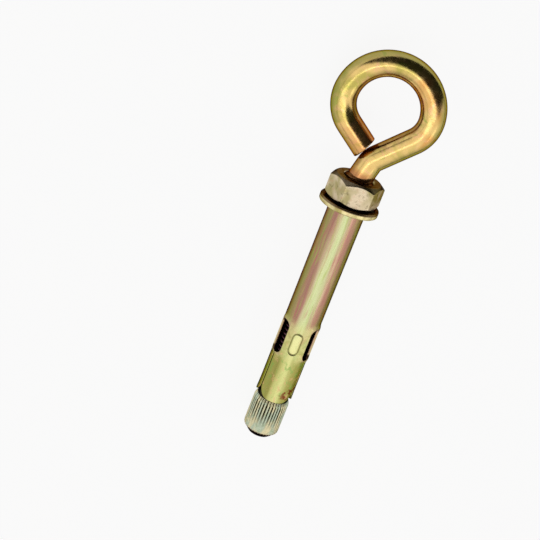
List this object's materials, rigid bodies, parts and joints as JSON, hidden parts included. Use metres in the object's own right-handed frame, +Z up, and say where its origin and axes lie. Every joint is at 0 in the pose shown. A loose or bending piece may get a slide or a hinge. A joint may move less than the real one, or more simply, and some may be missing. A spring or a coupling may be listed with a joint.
{
  "type": "sleeve anchor",
  "caption": "Sleeve anchor with a closed eye: a threaded rod carries a washer and hex nut, and a knurled cone nut spreads the leaves of its slit steel sleeve.",
  "frame": {"origin": "on the surface the anchor lies on, under the middle of its box", "axes": "+X along the anchor towards the eye, +Y to one side, +Z up from the surface; the anchor's own axis climbs a little towards the eye, because it rests on the washer's edge, the cone nut's foot and the side of the eye"},
  "size_m": [0.1128, 0.0261, 0.0186],
  "materials": {
    "eye_bolt": "yellow passivated zinc plating, glossy, on a bent round bar",
    "hex_nut": "yellow passivated zinc plating, duller, olive tint",
    "washer": "yellow passivated zinc plating",
    "sleeve": "yellow passivated zinc plating with green and pink sheen",
    "cone_nut": "yellow passivated zinc plating, thin and nearly silver"
  },
  "bodies": {
    "bolt": {"eye_bolt": "eye_bolt"},
    "washer": {"washer": "washer"},
    "nut": {"hex_nut": "hex_nut"},
    "sleeve": {"sleeve": "sleeve"},
    "cone": {"cone_nut": "cone_nut"}
  },
  "joints": [
    {"name": "washer_slide", "type": "slide", "parent": "bolt", "child": "washer", "axis": [0.999, 0, 0.0443], "range_m": [0, 0.0009]},
    {"name": "nut_turn", "type": "hinge", "parent": "washer", "child": "nut", "pos_m": [0.01893, 0, 0.00819], "axis": [0.999, 0, 0.0443], "range_deg": [0, 261]},
    {"name": "sleeve_slide", "type": "slide", "parent": "bolt", "child": "sleeve", "axis": [0.999, 0, 0.0443], "range_m": [-0.006, 0]},
    {"name": "cone_turn", "type": "hinge", "parent": "sleeve", "child": "cone", "pos_m": [-0.04895, 0, 0.00518], "axis": [0.999, 0, 0.0443], "range_deg": [-1730, 0]}
  ],
  "couplings": [
    {"joint": "nut_turn", "follows": "washer_slide", "rad_per_m": 5026.5},
    {"joint": "cone_turn", "follows": "sleeve_slide", "rad_per_m": 5026.5}
  ]
}
